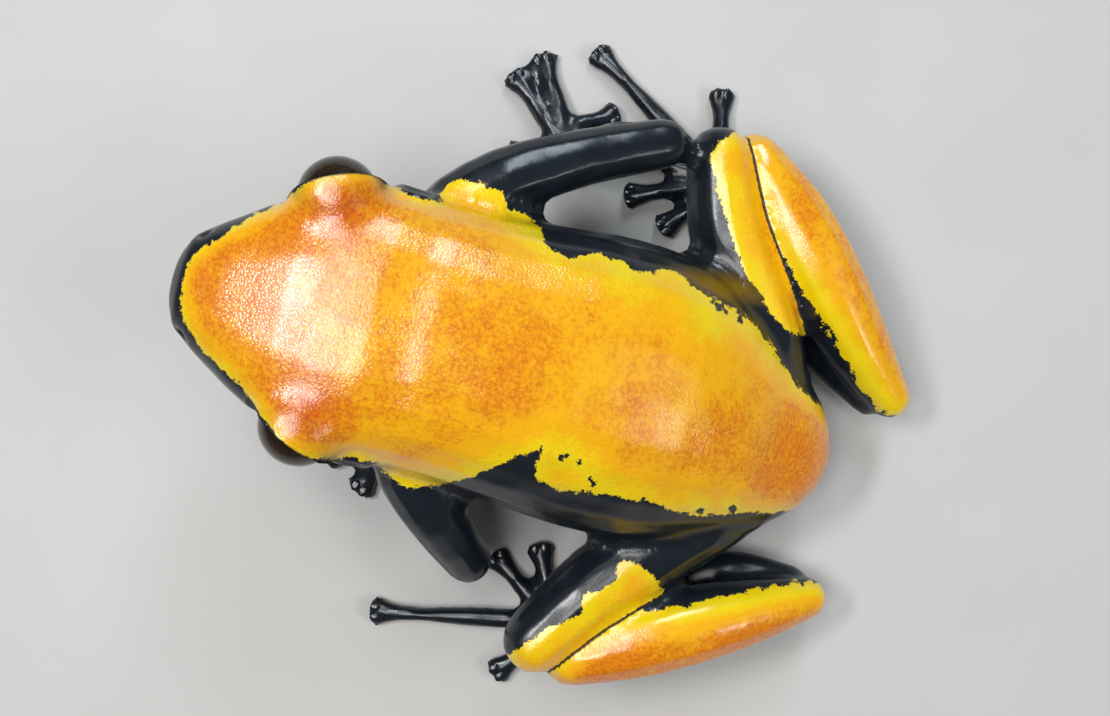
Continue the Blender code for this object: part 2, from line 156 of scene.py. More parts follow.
class Paint:
    """A material under construction."""

    def __init__(self, name):
        self.material = bpy.data.materials.new(name)
        self.material.use_nodes = True
        self.tree = self.material.node_tree
        self.surface = self.tree.nodes["Principled BSDF"].inputs

    def set(self, socket, value):
        if isinstance(value, Value):
            self.tree.links.new(value.socket, socket)
        else:
            socket.default_value = value

    def finish(self, values):
        """Gives the surface its looks, by the names of its sockets."""
        for name, value in values.items():
            self.set(self.surface[name], value)
        return self.material

    def node(self, kind, settings, values, output=0):
        made = self.tree.nodes.new(kind)
        for name, setting in settings.items():
            setattr(made, name, setting)
        for name, value in values.items():
            self.set(made.inputs[name], value)
        return Value(self, made.outputs[output])

    def vector(self, operation, values, output=0):
        return self.node("ShaderNodeVectorMath", {"operation": operation}, values, output)

    def place(self):
        """Where a point is on the object, in millimetres."""
        where = self.node("ShaderNodeTexCoord", {}, {}, "Object")
        return self.vector("SCALE", {0: where, "Scale": 1 / MM})

    def stored(self, name):
        return self.node("ShaderNodeAttribute", {"attribute_name": name}, {}, "Fac")

    def noise(self, place, size, detail=2.0, roughness=0.5):
        """Cloudy values about 0, with blotches of about that size."""
        values = {"Vector": place, "Scale": 1 / size, "Detail": detail, "Roughness": roughness}
        return self.node("ShaderNodeTexNoise", {}, values, "Fac") - 0.5

    def cells(self, place, size):
        """The distance to the middle of the nearest of many small cells."""
        values = {"Vector": place, "Scale": 1 / size}
        return self.node("ShaderNodeTexVoronoi", {"feature": "F1"}, values, "Distance")

    def mix(self, share, first, second):
        values = {0: share, 6: first, 7: second}
        return self.node("ShaderNodeMix", {"data_type": "RGBA"}, values, 2)

    def bump(self, height, depth, normal=None):
        """Raises the surface by height times depth, where depth is in millimetres."""
        values = {"Height": height, "Distance": depth * MM, "Strength": 1.0}
        if normal is not None:
            values["Normal"] = normal
        return self.node("ShaderNodeBump", {}, values, "Normal")


# %% [markdown]
# ## Where the camera sees the markings
#
# On the animal the yellow is a patch of pigment with a frayed edge. A hand-painted cast would
# copy that edge by eye. Here each outline was measured on one level plane, with x to the
# frog's left and y to its rear, and the spots are small gaps in the yellow.

# %% Marking outlines
BODY_PATCH = (
    (-1.0, -19.8), (-2.5, -19.5), (-4.3, -18.0), (-6.0, -16.3), (-7.9, -14.5),
    (-8.8, -12.9), (-9.1, -11.2), (-8.5, -10.0), (-8.8, -8.0), (-9.4, -7.9), (-9.9, -6.6),
    (-9.7, -5.0), (-9.0, -4.3), (-8.8, -3.2), (-8.4, -2.4), (-7.7, -1.9), (-7.3, -0.6),
    (-7.9, 0.8), (-7.8, 2.0), (-7.5, 3.2), (-8.0, 4.9), (-7.4, 6.1), (-7.0, 8.0),
    (-6.2, 9.9), (-4.9, 11.4), (-3.7, 12.7), (-3.1, 14.0), (-2.0, 15.4), (-0.4, 16.4),
    (1.6, 16.4), (2.4, 14.9), (2.7, 13.6), (3.1, 12.1), (3.8, 10.1), (4.1, 8.6), (4.0, 6.6),
    (4.2, 4.2), (4.5, 2.0), (4.3, 0.8), (3.6, 0.4), (2.5, 0.6), (3.4, -0.5), (4.6, -2.1),
    (5.6, -3.7), (6.4, -5.6), (6.1, -6.9), (5.6, -7.7), (5.8, -9.3), (6.2, -10.8),
    (5.9, -12.5), (4.6, -14.1), (3.5, -15.5), (2.1, -17.9), (0.7, -19.3),
)
THIGH_PATCH = {
    "right": (
        (-17.2, 7.4), (-15.2, 5.6), (-14.3, 5.2), (-12.7, 6.0), (-10.7, 7.2), (-9.3, 8.1),
        (-7.9, 9.6), (-6.5, 11.3), (-7.0, 13.0), (-10.0, 12.0), (-14.0, 10.0), (-17.5, 9.0),
    ),
    "left": (
        (14.6, 1.2), (13.0, 2.0), (11.8, 3.1), (10.7, 4.5), (9.5, 4.6), (8.5, 5.9),
        (7.4, 5.8), (7.4, 7.2), (8.4, 8.5), (9.4, 8.1), (10.2, 7.0), (11.3, 6.9),
        (13.2, 6.6), (14.8, 5.2), (16.0, 3.0),
    ),
}
SHANK_PATCH = {
    "right": (
        (-17.5, 7.0), (-15.5, 6.0), (-12.5, 8.0), (-10.6, 9.6), (-9.4, 10.9), (-8.0, 12.3),
        (-6.5, 14.0), (-5.1, 15.3), (-4.0, 16.5), (-3.5, 17.6), (-3.0, 19.6), (-7.0, 20.5),
        (-14.0, 15.5), (-18.0, 10.0),
    ),
    "left": (
        (15.2, 2.4), (13.2, 3.6), (11.0, 5.4), (9.8, 7.2), (9.1, 8.9), (8.6, 10.2),
        (7.9, 11.5), (6.9, 13.3), (6.2, 14.9), (5.7, 16.5), (6.3, 18.5), (11.0, 17.0),
        (15.5, 10.0), (17.0, 4.0),
    ),
}
# x, y and radius of each black spot near the edge
SPOTS = (
    (2.9, 1.6, 0.17), (2.75, 1.95, 0.14), (2.9, 2.6, 0.16), (3.55, 3.3, 0.12),
    (3.75, 3.6, 0.14), (-6.9, 7.2, 0.14), (-6.75, 7.6, 0.18), (-6.6, 8.1, 0.13),
    (-6.4, 8.9, 0.15), (4.1, 6.3, 0.2), (3.75, 9.3, 0.18), (3.3, 10.9, 0.2),
)
# Where the paint is warmer: x, y, radius and by how much
WARM_PATCHES = (
    (-2.0, -15.8, 4.2, 0.46), (-6.7, -12.6, 2.2, 0.38), (3.7, -11.8, 2.2, 0.38),
    (0.5, -7.5, 3.0, 0.14), (-1.4, -2.4, 2.6, 0.2), (-0.2, 9.0, 2.6, 0.14),
    (0.4, 14.6, 3.4, 0.42), (-7.0, 7.0, 2.5, -0.3), (-5.2, -6.6, 2.0, 0.1),
    (0.6, 4.6, 2.4, 0.1),
)
SHANK_WARMTH = {"right": 0.5, "left": 0.75}
BULGES, BULGE_RADIUS = ((-6.7, -12.6), (3.7, -11.8)), 1.5  # the red domes over the eyes
FLANK, FLANK_WIDTH, FLANK_LENGTH = (-7.9, 7.6), 0.6, 2.2  # the brown strip before the thigh
print("points in the body's outline:", len(BODY_PATCH), "spots:", len(SPOTS))

# %% [markdown]
# ## From the plane of the outlines to the skin
#
# A point of the skin belongs to the spot of that plane that lies on the same line of sight,
# so an outline falls on the skin just where the photograph shows it. The alternative, one
# outline for each height, would have to be drawn again whenever the body changes.

# %% Lines of sight


def on_marking_plane(points):
    """Each point's place on the plane of the outlines, along its line of sight."""
    eye = np.array(EYE_POINT)
    stretch = (eye[2] - MARKING_HEIGHT) / (eye[2] - points[:, 2])
    return eye[:2] + (points[:, :2] - eye[:2]) * stretch[:, None] - MARKING_SHIFT


def rounded(outline, per_side=4):
    """A closed smooth curve through the points of an outline."""
    points = np.array(outline)
    before, after = np.roll(points, 1, 0), np.roll(points, -1, 0)
    beyond = np.roll(points, -2, 0)
    curve = []
    for t in np.arange(per_side) / per_side:
        curve.append(
            0.5
            * (
                2 * points
                + (after - before) * t
                + (2 * before - 5 * points + 4 * after - beyond) * t**2
                + (3 * points - before - 3 * after + beyond) * t**3
            )
        )
    return np.stack(curve, 1).reshape(-1, 2)


def distance_to_side(points, start, end):
    """How far each point is from the straight line between two ends."""
    along = end - start
    share = np.clip(((points - start) @ along) / (along @ along), 0, 1)
    return np.linalg.norm(points - start - share[:, None] * along, axis=1)


def inside_by(flat, outline):
    """How far each point lies inside an outline. It is negative outside."""
    line = rounded(outline)
    nearest = np.full(len(flat), np.inf)
    crossings = np.zeros(len(flat), int)
    for start, end in zip(line, np.roll(line, -1, 0)):
        nearest = np.minimum(nearest, distance_to_side(flat, start, end))
        along = end - start
        spans = (start[1] > flat[:, 1]) != (end[1] > flat[:, 1])
        if spans.any():
            across = start[0] + (flat[:, 1] - start[1]) * along[0] / along[1]
            crossings += spans & (flat[:, 0] < across)
    return np.where(crossings % 2 == 1, nearest, -nearest)


middle_of_back = np.array([[-1.5, 0.0, MARKING_HEIGHT]])
depth_inside = inside_by(on_marking_plane(middle_of_back), BODY_PATCH)[0]
print("from the middle of the back to the edge of the yellow, mm:", round(float(depth_inside), 1))

# %% [markdown]
# ## Working with points
#
# A mesh is a list of points and the faces between them. The helpers here read and write
# those lists, and even out whatever is kept on the points. Evening out is done by moving
# each point towards its neighbours, which is also how a sculptor rubs down clay.

# %% Mesh helpers


def add_object(name, data):
    made = bpy.data.objects.new(name, data)
    bpy.context.scene.collection.objects.link(made)
    return made


def mesh_from(name, points, faces):
    mesh = bpy.data.meshes.new(name)
    mesh.from_pydata(points.tolist(), [], faces)
    mesh.update()
    return add_object(name, mesh)


def welded_copy(node):
    """The node's points, normals and triangles, with the split points joined."""
    shape = bmesh.new()
    shape.from_mesh(node.data)
    bmesh.ops.remove_doubles(shape, verts=shape.verts, dist=WELD * MM)
    bmesh.ops.triangulate(shape, faces=shape.faces)
    shape.verts.ensure_lookup_table()
    points = np.array([node.matrix_world @ vertex.co for vertex in shape.verts])
    normals = np.array([vertex.normal for vertex in shape.verts])
    faces = [[vertex.index for vertex in face.verts] for face in shape.faces]
    shape.free()
    return points, normals, faces


def read_points(mesh, field="co"):
    values = np.empty(len(mesh.vertices) * 3)
    mesh.vertices.foreach_get(field, values)
    return values.reshape(-1, 3)


def write_points(mesh, points):
    mesh.vertices.foreach_set("co", points.reshape(-1))
    mesh.update()


def edges_of(mesh):
    values = np.empty(len(mesh.edges) * 2, int)
    mesh.edges.foreach_get("vertices", values)
    return values.reshape(-1, 2)


def finder_of(points, faces):
    """A search tree that gives the nearest spot of a surface."""
    return BVHTree.FromPolygons([tuple(point) for point in points], faces)


def spread(values, edges, share):
    """Moves each vertex's value towards the mean of its neighbours' values."""
    count = len(values)
    degree = np.bincount(edges.ravel(), minlength=count)[:, None]
    total = np.zeros_like(values)
    for column in range(values.shape[1]):
        total[:, column] += np.bincount(edges[:, 0], values[edges[:, 1], column], count)
        total[:, column] += np.bincount(edges[:, 1], values[edges[:, 0], column], count)
    return values + share * (total / degree - values)


def smooth(points, edges, rounds, share=1.0):
    """Evens out steps without shrinking forms: each inward round has an outward one after it."""
    for _ in range(rounds):
        points = spread(points, edges, INWARD * share)
        points = spread(points, edges, OUTWARD * share)
    return points


def apply_modifiers(obj):
    graph = bpy.context.evaluated_depsgraph_get()
    mesh = bpy.data.meshes.new_from_object(obj.evaluated_get(graph))
    obj.modifiers.clear()
    obj.data = mesh


# %% [markdown]
# ## Growing one skin
#
# A living frog has one skin, but the solids stand 0.3 mm apart. A copy of each is swollen
# until they meet, and all of them are fused on a fine grid of cubes. Joining the solids
# directly would leave a sharp seam wherever two of them cross.

# %% Swelling and fusing
TRUNK = ("head", "torso", "upper_arm")
flesh_names = sorted(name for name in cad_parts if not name.startswith("eye"))
all_points, swollen_points, all_faces, face_owner = [], [], [], []
start = 0
for index, name in enumerate(flesh_names):
    points, normals, faces = welded_copy(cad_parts[name])
    reach = TRUNK_CLOSING if name.startswith(TRUNK) else CLOSING
    all_points.append(points)
    swollen_points.append(points + normals * reach * MM)
    all_faces += [[corner + start for corner in face] for face in faces]
    face_owner += [index] * len(faces)
    start += len(points)
all_points = np.vstack(all_points)

skin = mesh_from("skin", np.vstack(swollen_points), all_faces)
fuse = skin.modifiers.new("fuse", "REMESH")
fuse.mode = "VOXEL"
fuse.voxel_size = VOXEL * MM
apply_modifiers(skin)
skin_edges = edges_of(skin.data)
print("solids fused:", len(flesh_names), "into faces:", len(skin.data.polygons))

# %% [markdown]
# ## Which limb a point belongs to
#
# Hands need less smoothing than the back, and the markings stop at the folds between the
# limbs. So each point of the skin is told which solid it grew from: the nearest one.

# %% Owners
owner_finder = finder_of(all_points, all_faces)


def owners_of(points):
    """The number of the solid that is nearest to each point."""
    return np.array([face_owner[owner_finder.find_nearest(Vector(point))[2]] for point in points])


def grown_from(owners, *words):
    """True where the owner's name starts with one of the words."""
    numbers = [index for index, name in enumerate(flesh_names) if name.startswith(words)]
    return np.isin(owners, numbers)


points = read_points(skin.data)
first_owners = owners_of(points)
for index, name in enumerate(flesh_names):
    print(name, "has points of the skin:", int((first_owners == index).sum()))

# %% [markdown]
# ## Evening out and drawing in
#
# The cubes leave small steps, which smoothing takes away. The skin is then drawn in by as
# much as it was swollen, so the frog keeps its size, and the folds stay closed. Lids,
# fingers and toes are smoothed less, or they would melt away.

# %% Evening out
reach = np.where(grown_from(first_owners, *TRUNK), TRUNK_CLOSING, CLOSING)
softness = np.where(grown_from(first_owners, "hand", "foot"), FINE_SOFTNESS, 1.0)
for side in SIDES:
    near_eye = np.linalg.norm(points - eye_centre[side], axis=1) < LID_REACH * MM
    softness = np.where(near_eye, LID_SOFTNESS, softness)
reach, softness = reach[:, None], softness[:, None]
for _ in range(BLENDING):
    reach = spread(reach, skin_edges, 0.5)
    softness = spread(softness, skin_edges, 0.5)

points = smooth(points, skin_edges, SMOOTHING, softness)
write_points(skin.data, points)
points = points - read_points(skin.data, "normal") * reach * MM
points = smooth(points, skin_edges, LAST_SMOOTHING)
write_points(skin.data, points)
extent = (points.max(0) - points.min(0)) / MM
print("skin, mm:", np.round(extent, 2))

# %% [markdown]
# ## Brows
#
# In the photograph the crown runs over each eye in one soft dome, without the step that the
# solid's lid has. More rounds of evening out on just those two spots give the dome.

# %% Brows
normal = read_points(skin.data, "normal")
brow = np.zeros(len(points))
for side in SIDES:
    from_eye = np.linalg.norm(points - eye_centre[side], axis=1) / MM
    near = np.clip((BROW_REACH - from_eye) / BROW_FADE, 0, 1)
    faces_up = np.clip((normal[:, 2] - BROW_FACING) / BROW_FACING_FADE, 0, 1)
    brow = np.maximum(brow, near * faces_up)
for _ in range(BROW_ROUNDS):
    points = spread(points, skin_edges, 0.5 * brow[:, None])
write_points(skin.data, points)

owners = owners_of(points)


def belongs(*words):
    """True where the finished skin grew from a solid whose name starts with one of the words."""
    return grown_from(owners, *words)


print("points evened out over the eyes:", int((brow > 0).sum()))

# %% [markdown]
# ## Where the small forms are
#
# A frog's mouth is a long thin line that turns down behind the eye. The nostrils are two
# pits near the tip of the snout, and the eardrums two faint rings behind the eyes. All are
# finer than the solids, so the skin gets them from these places and sizes.

# %% Small forms
MOUTH_LINE = (
    (6.86, -9.7, 9.75), (6.36, -11.9, 10.4), (5.16, -14.5, 11.0), (3.76, -16.6, 11.55),
    (2.6, -18.1, 11.85), (0.56, -18.76, 12.0), (-1.5, -18.1, 11.85), (-2.9, -16.6, 11.55),
    (-4.4, -14.5, 11.0), (-5.6, -11.9, 10.4), (-6.2, -9.7, 9.75),
)
MOUTH_POINTS = 60
MOUTH_WIDTH, MOUTH_DEPTH = 0.28, 0.3
LIP_WIDTH = 0.8
LIP_RIDGE, LIP_RIDGE_AT, LIP_RIDGE_WIDTH = 0.06, 0.55, 0.3
LIP_ROUNDS, LAST_LIP_ROUNDS = 12, 3
NOSTRILS = ((3.01, -17.66, 13.0), (-1.89, -17.66, 13.0))
NOSTRIL_WIDTH, NOSTRIL_DEPTH = 0.26, 0.36
EARDRUMS = ((6.78, -8.76, 12.0), (-6.06, -8.76, 12.0))
EARDRUM_RADIUS, EARDRUM_RIM, EARDRUM_HEIGHT = 0.95, 0.16, 0.09
FOLD_WIDTH, FOLD_DEPTH = 0.16, 0.16
FOLD_RIDGE, FOLD_RIDGE_AT = 0.15, 0.3  # the ridge's share of the depth, and its distance
FAR = 9.0  # for points that no form reaches


def hill(distance, width):
    """1 at distance 0, and a smooth fall to nothing."""
    return np.exp(-((distance / width) ** 2))


def distance_to_line(points, line):
    """How far each point is from an open line through the given places."""
    nearest = np.full(len(points), np.inf)
    for start, end in zip(line[:-1], line[1:]):
        nearest = np.minimum(nearest, distance_to_side(points, start, end))
    return nearest


def skin_finder():
    return finder_of(place, [tuple(face.vertices) for face in skin.data.polygons])


def onto_skin(line, count):
    """Evenly spread points of a line, each moved to the nearest spot of the skin."""
    line = np.array(line)
    steps = np.linspace(0, len(line) - 1, count)
    points = [np.interp(steps, range(len(line)), line[:, axis]) for axis in range(3)]
    finder = skin_finder()
    return np.array([finder.find_nearest(Vector(point))[0] for point in np.stack(points, 1)])


def gap_to_nearest_skin(centres):
    """How far each point is from the spots of the skin that are nearest to the places."""
    gap = np.full(len(place), FAR)
    for centre in centres:
        nearest = np.argmin(np.linalg.norm(place - centre, axis=1))
        gap = np.minimum(gap, np.linalg.norm(place - place[nearest], axis=1))
    return gap


def gap_to_solid(name, chosen):
    """How far each chosen point is from one solid, in millimetres, and FAR for the rest."""
    number = flesh_names.index(name)
    first = face_owner.index(number)
    faces = all_faces[first : first + face_owner.count(number)]
    finder = finder_of(all_points, faces)
    gap = np.full(len(place), FAR)
    gap[chosen] = [finder.find_nearest(Vector(point))[3] / MM for point in place[chosen] * MM]
    return gap


place = read_points(skin.data) / MM
mouth = onto_skin(MOUTH_LINE, MOUTH_POINTS)
mouth_steps = np.linalg.norm(np.diff(mouth, axis=0), axis=1)
print("length of the mouth's line, mm:", round(float(mouth_steps.sum()), 1))

# %% [markdown]
# ## Pressing the forms in
#
# The line of the mouth and the nostrils are pressed in, a low ring stands round each
# eardrum, and the fold between thigh and shank is drawn deeper. Each form is a smooth bump
# or dip that depends only on a distance, so it needs no edges of its own in the mesh.

# %% Pressing in
mouth_gap = distance_to_line(place, mouth)
lips = hill(mouth_gap, LIP_WIDTH)[:, None]
for _ in range(LIP_ROUNDS):
    place = spread(place, skin_edges, 0.5 * lips)
write_points(skin.data, place * MM)
normal = read_points(skin.data, "normal")

push = LIP_RIDGE * hill(mouth_gap - LIP_RIDGE_AT, LIP_RIDGE_WIDTH)
push = (push - MOUTH_DEPTH * hill(mouth_gap, MOUTH_WIDTH)) * belongs("head")
pit = gap_to_nearest_skin(NOSTRILS)
push -= NOSTRIL_DEPTH * hill(pit, NOSTRIL_WIDTH)
ear = gap_to_nearest_skin(EARDRUMS)
push += EARDRUM_HEIGHT * hill(ear - EARDRUM_RADIUS, EARDRUM_RIM)

# The fold is negative on the thigh, positive on the shank, and -1 on the rest of the frog
fold = np.full(len(place), -1.0)
for side in SIDES:
    leg = belongs(f"thigh_{side}", f"shank_{side}")
    difference = gap_to_solid(f"thigh_{side}", leg) - gap_to_solid(f"shank_{side}", leg)
    fold[leg] = np.clip(difference[leg], -1, 1)
ridge = FOLD_RIDGE * FOLD_DEPTH * hill(fold + FOLD_RIDGE_AT, FOLD_WIDTH)
push += ridge - FOLD_DEPTH * hill(fold, FOLD_WIDTH)

place = place + normal * push[:, None]
for _ in range(LAST_LIP_ROUNDS):
    place = spread(place, skin_edges, 0.5 * lips)
place[:, 2] = np.maximum(place[:, 2], 0.0)
write_points(skin.data, place * MM)
print("deepest and highest push, mm:", round(float(push.min()), 2), round(float(push.max()), 2))

# %% [markdown]
# ## How far each point is inside the yellow
#
# Yellow lies only on what faces up. Its distance from the edge of the marking is kept on
# each point, so that the material can draw a crisp, frayed edge that is finer than the
# mesh. A colour kept on each point would be blurred over the width of a face.

# %% Yellow
# For rising y, the least that a point faces up, and its least height
LEAST_FACING = ((-17, -13, -1, 8), (0.3, 0.14, 0.1, 0.02))
LEAST_HEIGHT = (
    (-18, -14, -10, -8.6, -7.4, -6.8),
    (12.5, 12.7, 12.6, 12.2, 10.5, -20.0),
)
FACING_SCALE = 3.0  # turns a change of slope into millimetres
SHANK_LEAST_FACING, SHANK_FACING_SCALE = -0.2, 4.5
EARDRUM_MARGIN = 0.2
NO_YELLOW = -3.0

normal = read_points(skin.data, "normal")
facing = normal[:, 2]
flat = on_marking_plane(place)


def from_mark(x, y):
    """How far each point of the skin is seen from a place of the markings."""
    return np.hypot(flat[:, 0] - x, flat[:, 1] - y)


yellow = np.full(len(place), NO_YELLOW)
shank_yellow = np.full(len(place), NO_YELLOW)
trunk = belongs(*TRUNK)
yellow[trunk] = inside_by(flat[trunk], BODY_PATCH)
for side in SIDES:
    leg = belongs(f"thigh_{side}", f"shank_{side}")
    yellow[leg] = inside_by(flat[leg], THIGH_PATCH[side])
    shank_yellow[leg] = inside_by(flat[leg], SHANK_PATCH[side])
for x, y, radius in SPOTS:
    yellow = np.minimum(yellow, from_mark(x, y) - radius)

least_facing = np.interp(place[:, 1], *LEAST_FACING)
least_height = np.interp(place[:, 1], *LEAST_HEIGHT)
yellow = np.minimum(yellow, (facing - least_facing) * FACING_SCALE)
yellow = np.minimum(yellow, place[:, 2] - least_height)
yellow = np.minimum(yellow, ear - EARDRUM_RADIUS - EARDRUM_MARGIN)
shank_yellow = np.minimum(shank_yellow, (facing - SHANK_LEAST_FACING) * SHANK_FACING_SCALE)
print("share of the skin that is yellow:", round(float((yellow > 0).mean()), 3))

# %% [markdown]
# ## The lids' rims
#
# A fine black rim runs round the opening of each pair of lids. It could be drawn along the
# edge, but the edge has no line of its own in the fused mesh. So the rim is all of the skin
# that lies in front of a plane near the middle of the eye, and close to the ball.

# %% Lid rims
lid_rim = np.full(len(place), FAR)
for side, mirror in zip(SIDES, (1, -1)):
    parts = place - eye_centre[side] / MM
    from_eye = np.linalg.norm(parts, axis=1)
    behind_rim = LID_RIM - parts @ (np.array(LIDS_OPEN) * (mirror, 1, 1))
    rim = np.maximum(behind_rim, from_eye - LID_OUTSIDE)
    lid_rim = np.minimum(lid_rim, np.minimum(rim, from_eye - LID_RADIUS))
print("points on the lids' rims:", int((lid_rim < 0).sum()))

# %% [markdown]
# ## Warmth
#
# The paint of this frog is a clear yellow at its edge and orange further in, most of all on
# the snout, the rump and the domes over the eyes. So the warmth grows with the distance
# from the edge, and a few soft patches add to it.

# %% Warmth
# For rising y, how far in the paint is at its warmest
WARM_MARGIN = ((-16, -8, -4, 6, 13), (0.8, 1.0, 2.2, 2.4, 0.7))
WARM_BASE = 0.42
SHANK_COOL_EDGE, SHANK_WARM_MARGIN = 0.6, 1.4


def store(name, values):
    """Keeps one number on each point of the skin for the material to read."""
    layer = skin.data.attributes.new(name, "FLOAT", "POINT")
    layer.data.foreach_set("value", np.asarray(values, float))


warm = np.clip(yellow / np.interp(place[:, 1], *WARM_MARGIN), 0, 1)
warm *= WARM_BASE + sum(more * hill(from_mark(x, y), wide) for x, y, wide, more in WARM_PATCHES)
for side, warmth in SHANK_WARMTH.items():
    shank = belongs(f"thigh_{side}", f"shank_{side}") & (fold > 0)
    inside = (shank_yellow[shank] - SHANK_COOL_EDGE) / SHANK_WARM_MARGIN
    warm[shank] = warmth * np.clip(inside, 0, 1)
flank = hill(flat[:, 0] - FLANK[0], FLANK_WIDTH) * hill(flat[:, 1] - FLANK[1], FLANK_LENGTH)

store("yellow", yellow)
store("shank_yellow", shank_yellow)
store("fold", fold)
store("warm", warm)
store("bulge", sum(hill(from_mark(x, y), BULGE_RADIUS) for x, y in BULGES))
store("flank", flank * (facing > 0))
# Painted shade in the mouth's groove and the nostrils' pits, together with the lids' own black
# rims
store("groove_shade_and_lid_rim", np.minimum(np.minimum(mouth_gap, pit), lid_rim))
print("mean warmth of the yellow:", round(float(warm[yellow > 0].mean()), 2))

# %% [markdown]
# ## Skin material
#
# The skin is wet and finely granular. The grains give the yellow its broken shine, and the
# black is smoother, with a faint blue sheen that is painted into its colour in patches. A clear
# coat over the yellow makes the wet look; it is a little rough, because a perfect one would look
# like varnish.

# %% Skin material
BRIGHT_YELLOW = (0.73, 0.545, 0.001, 1.0)
GOLD = (0.76, 0.37, 0.001, 1.0)
ORANGE = (0.66, 0.205, 0.001, 1.0)
RED_ORANGE = (0.47, 0.08, 0.001, 1.0)
BLACK = (0.004, 0.005, 0.007, 1.0)
PAINTED_SHEEN_BLUE = (0.010, 0.016, 0.024, 1.0)
BROWN = (0.17, 0.095, 0.004, 1.0)
GRAIN, SPECK, BLOTCH, CLOUD = 0.14, 0.22, 0.6, 2.6  # sizes of the patterns in the paint
# SHEEN is the size of the patches of painted blue sheen on the black
FRAY, SHEEN, WAVE = 0.8, 1.2, 2.0
GRAIN_DEPTH, BLOTCH_DEPTH, WAVE_DEPTH = -0.019, 0.008, 0.16
BLACK_GRAIN, LEG_GRAIN = 0.15, 0.65  # what grain black has, and how much a leg's lacks
COAT, COAT_ROUGHNESS, COAT_IOR = 0.45, 0.26, 1.8


def skin_material():
    paint = Paint("skin")
    place = paint.place()
    grains = paint.cells(place, GRAIN)
    specks = paint.noise(place, SPECK, 2.0)
    blotches = paint.noise(place, BLOTCH, 3.0)
    clouds = paint.noise(place, CLOUD, 4.0, 0.6)

    # The frayed edge, on the shank from its own outline
    yellow, fold = paint.stored("yellow"), paint.stored("fold")
    on_leg = fold.step(-0.99, -0.9)
    on_shank = fold.step(-0.02, 0.02)
    edge = yellow + (paint.stored("shank_yellow") - yellow) * on_shank
    edge = edge + paint.noise(place, FRAY, 5.0, 0.75) * (1.0 + on_leg * 0.7)
    edge = edge + paint.noise(place, GRAIN) * 0.25
    painted = edge.step(-0.03, 0.03)

    # Yellow, gold and orange, with red on the domes and in the flecks
    warm = paint.stored("warm")
    uneven = clouds * 0.95 + blotches * 0.45 + specks * 0.5
    warmth = warm + uneven * (warm * 1.6 + 0.3).at_most(1.0)
    base = paint.mix(warmth.step(-0.05, 0.28), BRIGHT_YELLOW, GOLD)
    base = paint.mix(warmth.step(0.28, 0.9), base, ORANGE)
    flecks = (grains + specks).step(0.3, 0.8) * warmth.step(0.25, 0.8)
    red = (paint.stored("bulge") * 0.7 + flecks * 0.5).at_most(1.0)
    base = paint.mix(red, base, RED_ORANGE)

    # Black with a painted blue sheen in patches, and brown on the flank
    flank = paint.stored("flank")
    dark = paint.mix(paint.noise(place, SHEEN, 3.0) + 0.5, BLACK, PAINTED_SHEEN_BLUE)
    dark = paint.mix((flank + blotches * 0.3) * flank.step(0.0, 0.3), dark, BROWN)
    colour = paint.mix(painted, dark, base)
    # Painted shade: black along the mouth's groove, in the nostrils' pits and along the fold
    # between thigh and shank; the lids' black rims are their own colour
    line = 1.0 - paint.stored("groove_shade_and_lid_rim").step(0.12, 0.24) * (fold * fold).step(0.006, 0.03)

    rough = painted * (1.0 - LEG_GRAIN * on_leg)
    fine = paint.bump(grains * (BLACK_GRAIN + rough * (1 - BLACK_GRAIN)), GRAIN_DEPTH)
    blotched = paint.bump(blotches, BLOTCH_DEPTH, fine)
    return paint.finish(
        {
            "Base Color": paint.mix(line * 0.95, colour, BLACK),
            "Roughness": 0.24 + blotches * 0.08 - painted * 0.06 + line * 0.4,
            "Specular IOR Level": 0.5,
            "Coat Weight": painted * COAT * (1.0 - line),
            "Coat IOR": COAT_IOR,
            "Coat Roughness": COAT_ROUGHNESS,
            "Normal": paint.bump(paint.noise(place, WAVE, 0.0), WAVE_DEPTH, blotched),
        }
    )


skin.data.materials.clear()
skin.data.materials.append(skin_material())
skin.data.shade_smooth()
print("nodes in the skin's material:", len(skin.data.materials[0].node_tree.nodes))

# %% [markdown]
# ## Eyes
#
# The eyes are large, round and so dark that the pupil hardly shows. Each ball is swollen a
# little to close the gap to its lids. Its rings are drawn from the distance to the line
# along which the eye looks, so they stay true whichever way the ball is turned.

# %% Eyes
EYE_LOOKS = {"left": (0.93, -0.33, 0.12), "right": (-0.93, -0.33, 0.12)}
PUPIL_STRETCH = 0.8  # below 1 the pupil is wider than high
IRIS_DARK, IRIS_FLECK = (0.012, 0.007, 0.004, 1), (0.04, 0.020, 0.007, 1)
IRIS_RIM, PUPIL = (0.004, 0.003, 0.003, 1), (0.001, 0.001, 0.001, 1)


def eye_material(side, centre, radius):
    """A black pupil in a dark brown iris with fine bronze flecks."""
    paint = Paint(f"eye_{side}")
    place = paint.place()
    look = Vector(EYE_LOOKS[side]).normalized()
    level = Vector((0, 0, 1)).cross(look).normalized()
    parts = paint.vector("SUBTRACT", {0: place, 1: tuple(centre)})
    along = paint.vector("DOT_PRODUCT", {0: parts, 1: tuple(level)}, "Value")
    above = paint.vector("DOT_PRODUCT", {0: parts, 1: tuple(look.cross(level))}, "Value")
    off_axis = ((along * PUPIL_STRETCH) ** 2.0 + above**2.0) ** 0.5
    streaks = paint.noise(place, 0.12, 3.0, 0.7)
    iris = paint.mix((streaks + 0.5).step(0.35, 0.75), IRIS_DARK, IRIS_FLECK)
    ring = 1.0 - (off_axis + streaks * 0.15).step(radius * 0.72, radius * 0.95)
    iris = paint.mix(ring, IRIS_RIM, iris)
    pupil = 1.0 - (off_axis + streaks * 0.03).step(radius * 0.44, radius * 0.5)
    return paint.finish(
        {
            "Base Color": paint.mix(pupil, iris, PUPIL),
            "Roughness": 0.3 - pupil * 0.2,
            "Specular IOR Level": 0.1,
            "Coat Weight": 1.0,
            "Coat Roughness": 0.03,
            "Coat IOR": 1.38,
        }
    )


